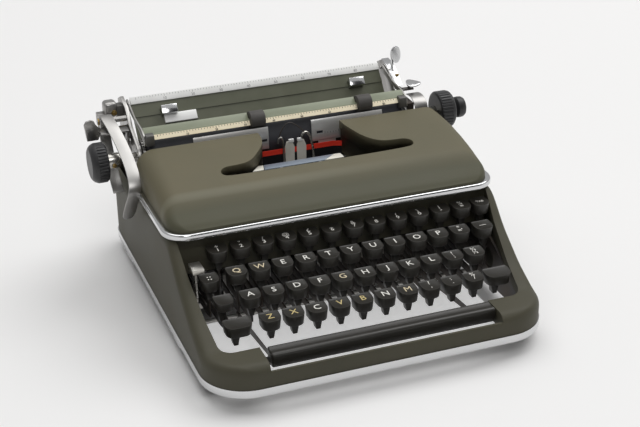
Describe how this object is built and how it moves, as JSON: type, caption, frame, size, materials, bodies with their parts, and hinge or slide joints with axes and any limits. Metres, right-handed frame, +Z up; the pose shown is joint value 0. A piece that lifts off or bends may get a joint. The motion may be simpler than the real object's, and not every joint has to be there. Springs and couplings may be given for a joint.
{
  "type": "portable typewriter",
  "caption": "Portable typewriter with an olive crinkle-painted body, black keys, chrome trim, a knobbed platen carriage and a lift-off ribbon cover.",
  "frame": {"origin": "centre of the bounding box on the plane that the rubber feet stand on", "axes": "+X to the typist's right along the carriage, +Y from the space bar towards the rear, +Z up"},
  "size_m": [0.344, 0.32, 0.1661],
  "materials": {
    "olive_paint": "olive crinkle enamel",
    "chrome": "bright chrome plate",
    "black_plastic": "polished black plastic",
    "platen_rubber": "worn black rubber",
    "plated_steel": "nickel-plated steel",
    "dark_steel": "dark oiled steel",
    "table_paint": "smooth green-grey enamel",
    "grey_enamel": "blue-grey plated sheet",
    "brass": "tarnished brass",
    "ribbon_cloth": "inked two-colour cloth"
  },
  "bodies": {
    "chassis": {"lower_housing": "olive_paint", "base_trim": "chrome", "side_strip": "chrome", "feet": "platen_rubber", "side_frames": "dark_steel", "cross_bars": "dark_steel", "lever_rod": "plated_steel", "key_comb": "plated_steel", "segment": "plated_steel", "type_bars": "plated_steel", "type_rest": "grey_enamel", "ribbon_cups": "dark_steel", "ribbon": "ribbon_cloth", "card_holders": "chrome", "carriage_rails": "plated_steel", "bell": "chrome"},
    "cover": {"ribbon_cover": "olive_paint"},
    "spool_l": {"ribbon_spool_left": "dark_steel"},
    "spool_r": {"ribbon_spool_right": "dark_steel"},
    "guide": {"type_guide": "chrome"},
    "drum": {"mainspring_drum": "brass"},
    "escape": {"escapement_wheel": "brass"},
    "carriage": {"carriage_bed": "dark_steel"},
    "platen_frame": {"end_plates": "plated_steel", "paper_table": "table_paint", "paper_ruler": "chrome"},
    "platen_roll": {"platen": "platen_rubber", "platen_shaft": "plated_steel", "left_knob": "black_plastic", "right_knob": "black_plastic", "ratchet_wheel": "plated_steel"},
    "button": {"knob_button": "black_plastic"},
    "feed": {"feed_roller": "platen_rubber"},
    "stop_l": {"margin_stop_left": "chrome"},
    "stop_r": {"margin_stop_right": "chrome"},
    "bail": {"paper_bail": "table_paint"},
    "bail_rolls": {"bail_rollers": "platen_rubber"},
    "return_arm": {"return_lever": "chrome"},
    "release_l": {"release_lever_left": "chrome"},
    "release_r": {"release_lever_right": "chrome"},
    "paper_release": {"paper_release_lever": "chrome"},
    "bar_centre": {"type_bar_centre": "plated_steel"},
    "space": {"space_bar": "black_plastic"},
    "shift_l": {"shift_key_left": "black_plastic"},
    "shift_r": {"shift_key_right": "black_plastic"},
    "shift_lock": {"shift_lock_key": "black_plastic"},
    "margin": {"margin_key": "black_plastic"},
    "tab": {"tab_key": "black_plastic"},
    "back_space": {"back_space_key": "black_plastic"},
    "selector": {"ribbon_selector": "chrome"},
    "keys_0": {"key_column_0": "black_plastic"},
    "keys_1": {"key_column_1": "black_plastic"},
    "keys_2": {"key_column_2": "black_plastic"},
    "keys_3": {"key_column_3": "black_plastic"},
    "keys_4": {"key_column_4": "black_plastic"},
    "keys_5": {"key_column_5": "black_plastic"},
    "keys_6": {"key_column_6": "black_plastic"},
    "keys_7": {"key_column_7": "black_plastic"},
    "keys_8": {"key_column_8": "black_plastic"},
    "keys_9": {"key_column_9": "black_plastic"}
  },
  "joints": [
    {"name": "cover_lift", "type": "slide", "parent": "chassis", "child": "cover", "axis": [0, 0, 1], "range_m": [0, 0.05]},
    {"name": "spool_left_spin", "type": "hinge", "parent": "chassis", "child": "spool_l", "pos_m": [-0.085, 0.02, 0.1], "axis": [0, 0, 1], "continuous": true},
    {"name": "spool_right_spin", "type": "hinge", "parent": "chassis", "child": "spool_r", "pos_m": [0.085, 0.02, 0.1], "axis": [0, 0, 1], "continuous": true},
    {"name": "guide_lift", "type": "slide", "parent": "chassis", "child": "guide", "axis": [0, 0, 1], "range_m": [0, 0.006]},
    {"name": "drum_turn", "type": "hinge", "parent": "chassis", "child": "drum", "pos_m": [-0.095, 0.108, 0.059], "axis": [0, 1, 0], "range_deg": [-340, 20]},
    {"name": "escapement_turn", "type": "hinge", "parent": "chassis", "child": "escape", "pos_m": [-0.009, 0.108, 0.059], "axis": [0, 1, 0], "range_deg": [-640, 40]},
    {"name": "carriage_travel", "type": "slide", "parent": "chassis", "child": "carriage", "axis": [1, 0, 0], "range_m": [-0.105, 0]},
    {"name": "platen_lift", "type": "slide", "parent": "carriage", "child": "platen_frame", "axis": [0, 0, 1], "range_m": [0, 0.0065]},
    {"name": "platen_turn", "type": "hinge", "parent": "platen_frame", "child": "platen_roll", "pos_m": [0, 0.078, 0.114], "axis": [1, 0, 0], "continuous": true},
    {"name": "knob_button_pull", "type": "slide", "parent": "platen_roll", "child": "button", "axis": [1, 0, 0], "range_m": [0, 0.003]},
    {"name": "feed_roller_turn", "type": "hinge", "parent": "platen_frame", "child": "feed", "pos_m": [0, 0.0977, 0.103], "axis": [1, 0, 0], "continuous": true},
    {"name": "margin_left_slide", "type": "slide", "parent": "platen_frame", "child": "stop_l", "axis": [1, 0, 0], "range_m": [-0.015, 0.06]},
    {"name": "margin_right_slide", "type": "slide", "parent": "platen_frame", "child": "stop_r", "axis": [1, 0, 0], "range_m": [-0.06, 0.015]},
    {"name": "paper_bail_lift", "type": "hinge", "parent": "platen_frame", "child": "bail", "pos_m": [0, 0.12, 0.146], "axis": [1, 0, 0], "range_deg": [-60, 0]},
    {"name": "bail_roller_turn", "type": "hinge", "parent": "bail", "child": "bail_rolls", "pos_m": [0, 0.0679, 0.1362], "axis": [1, 0, 0], "continuous": true},
    {"name": "return_lever_fold", "type": "hinge", "parent": "platen_frame", "child": "return_arm", "pos_m": [-0.15, 0.108, 0.138], "axis": [1, 0, 0], "range_deg": [-50, 0]},
    {"name": "release_left_press", "type": "hinge", "parent": "platen_frame", "child": "release_l", "pos_m": [-0.135, 0.096, 0.122], "axis": [1, 0, 0], "range_deg": [0, 15], "stiffness_Nm_per_rad": 0.03, "springref_deg": -17.19},
    {"name": "release_right_press", "type": "hinge", "parent": "platen_frame", "child": "release_r", "pos_m": [0.117, 0.096, 0.122], "axis": [1, 0, 0], "range_deg": [0, 15], "stiffness_Nm_per_rad": 0.03, "springref_deg": -17.19},
    {"name": "paper_release_pull", "type": "hinge", "parent": "platen_frame", "child": "paper_release", "pos_m": [0.115, 0.112, 0.136], "axis": [1, 0, 0], "range_deg": [0, 20]},
    {"name": "type_bar_swing", "type": "hinge", "parent": "chassis", "child": "bar_centre", "pos_m": [0.004, 0.05, 0.053], "axis": [1, 0, 0], "range_deg": [-88, 0]},
    {"name": "space_bar_press", "type": "hinge", "parent": "chassis", "child": "space", "pos_m": [0, -0.05, 0.02], "axis": [1, 0, 0], "range_deg": [0, 4], "stiffness_Nm_per_rad": 0.8, "springref_deg": -14.32},
    {"name": "shift_left_press", "type": "hinge", "parent": "chassis", "child": "shift_l", "pos_m": [0, 0.1, 0.04], "axis": [1, 0, 0], "range_deg": [0, 4]},
    {"name": "shift_right_press", "type": "hinge", "parent": "chassis", "child": "shift_r", "pos_m": [0, 0.1, 0.04], "axis": [1, 0, 0], "range_deg": [0, 4]},
    {"name": "shift_lock_press", "type": "hinge", "parent": "chassis", "child": "shift_lock", "pos_m": [0, 0.1, 0.04], "axis": [1, 0, 0], "range_deg": [0, 2.8], "stiffness_Nm_per_rad": 0.6, "springref_deg": -20.05},
    {"name": "margin_key_press", "type": "hinge", "parent": "chassis", "child": "margin", "pos_m": [0, 0.1, 0.04], "axis": [1, 0, 0], "range_deg": [0, 3], "stiffness_Nm_per_rad": 0.6, "springref_deg": -20.05},
    {"name": "tab_key_press", "type": "hinge", "parent": "chassis", "child": "tab", "pos_m": [0, 0.1, 0.04], "axis": [1, 0, 0], "range_deg": [0, 3], "stiffness_Nm_per_rad": 0.6, "springref_deg": -20.05},
    {"name": "back_space_press", "type": "hinge", "parent": "chassis", "child": "back_space", "pos_m": [0, 0.1, 0.04], "axis": [1, 0, 0], "range_deg": [0, 3], "stiffness_Nm_per_rad": 0.6, "springref_deg": -20.05},
    {"name": "ribbon_selector_tilt", "type": "hinge", "parent": "chassis", "child": "selector", "pos_m": [-0.126, -0.069, 0.052], "axis": [1, 0, 0], "range_deg": [0, 12]},
    {"name": "keys_0_press", "type": "hinge", "parent": "chassis", "child": "keys_0", "pos_m": [0, 0.1, 0.04], "axis": [1, 0, 0], "range_deg": [0, 4], "stiffness_Nm_per_rad": 2.2, "springref_deg": -20.05},
    {"name": "keys_1_press", "type": "hinge", "parent": "chassis", "child": "keys_1", "pos_m": [0, 0.1, 0.04], "axis": [1, 0, 0], "range_deg": [0, 4], "stiffness_Nm_per_rad": 2.2, "springref_deg": -20.05},
    {"name": "keys_2_press", "type": "hinge", "parent": "chassis", "child": "keys_2", "pos_m": [0, 0.1, 0.04], "axis": [1, 0, 0], "range_deg": [0, 4], "stiffness_Nm_per_rad": 2.2, "springref_deg": -20.05},
    {"name": "keys_3_press", "type": "hinge", "parent": "chassis", "child": "keys_3", "pos_m": [0, 0.1, 0.04], "axis": [1, 0, 0], "range_deg": [0, 4], "stiffness_Nm_per_rad": 2.2, "springref_deg": -20.05},
    {"name": "keys_4_press", "type": "hinge", "parent": "chassis", "child": "keys_4", "pos_m": [0, 0.1, 0.04], "axis": [1, 0, 0], "range_deg": [0, 4], "stiffness_Nm_per_rad": 2.2, "springref_deg": -20.05},
    {"name": "keys_5_press", "type": "hinge", "parent": "chassis", "child": "keys_5", "pos_m": [0, 0.1, 0.04], "axis": [1, 0, 0], "range_deg": [0, 4], "stiffness_Nm_per_rad": 2.2, "springref_deg": -20.05},
    {"name": "keys_6_press", "type": "hinge", "parent": "chassis", "child": "keys_6", "pos_m": [0, 0.1, 0.04], "axis": [1, 0, 0], "range_deg": [0, 4], "stiffness_Nm_per_rad": 2.2, "springref_deg": -20.05},
    {"name": "keys_7_press", "type": "hinge", "parent": "chassis", "child": "keys_7", "pos_m": [0, 0.1, 0.04], "axis": [1, 0, 0], "range_deg": [0, 4], "stiffness_Nm_per_rad": 2.2, "springref_deg": -20.05},
    {"name": "keys_8_press", "type": "hinge", "parent": "chassis", "child": "keys_8", "pos_m": [0, 0.1, 0.04], "axis": [1, 0, 0], "range_deg": [0, 4], "stiffness_Nm_per_rad": 2.2, "springref_deg": -20.05},
    {"name": "keys_9_press", "type": "hinge", "parent": "chassis", "child": "keys_9", "pos_m": [0, 0.1, 0.04], "axis": [1, 0, 0], "range_deg": [0, 4], "stiffness_Nm_per_rad": 4.4, "springref_deg": -20.05}
  ],
  "couplings": [
    {"joint": "spool_right_spin", "follows": "spool_left_spin", "ratio": 1},
    {"joint": "drum_turn", "follows": "carriage_travel", "rad_per_m": 55},
    {"joint": "escapement_turn", "follows": "carriage_travel", "rad_per_m": 100},
    {"joint": "feed_roller_turn", "follows": "platen_turn", "ratio": -2.9464},
    {"joint": "type_bar_swing", "follows": "keys_5_press", "ratio": -21.9},
    {"joint": "guide_lift", "follows": "keys_5_press", "m_per_rad": 0.085},
    {"joint": "shift_left_press", "follows": "platen_lift", "rad_per_m": 10.73},
    {"joint": "shift_right_press", "follows": "platen_lift", "rad_per_m": 10.73}
  ]
}
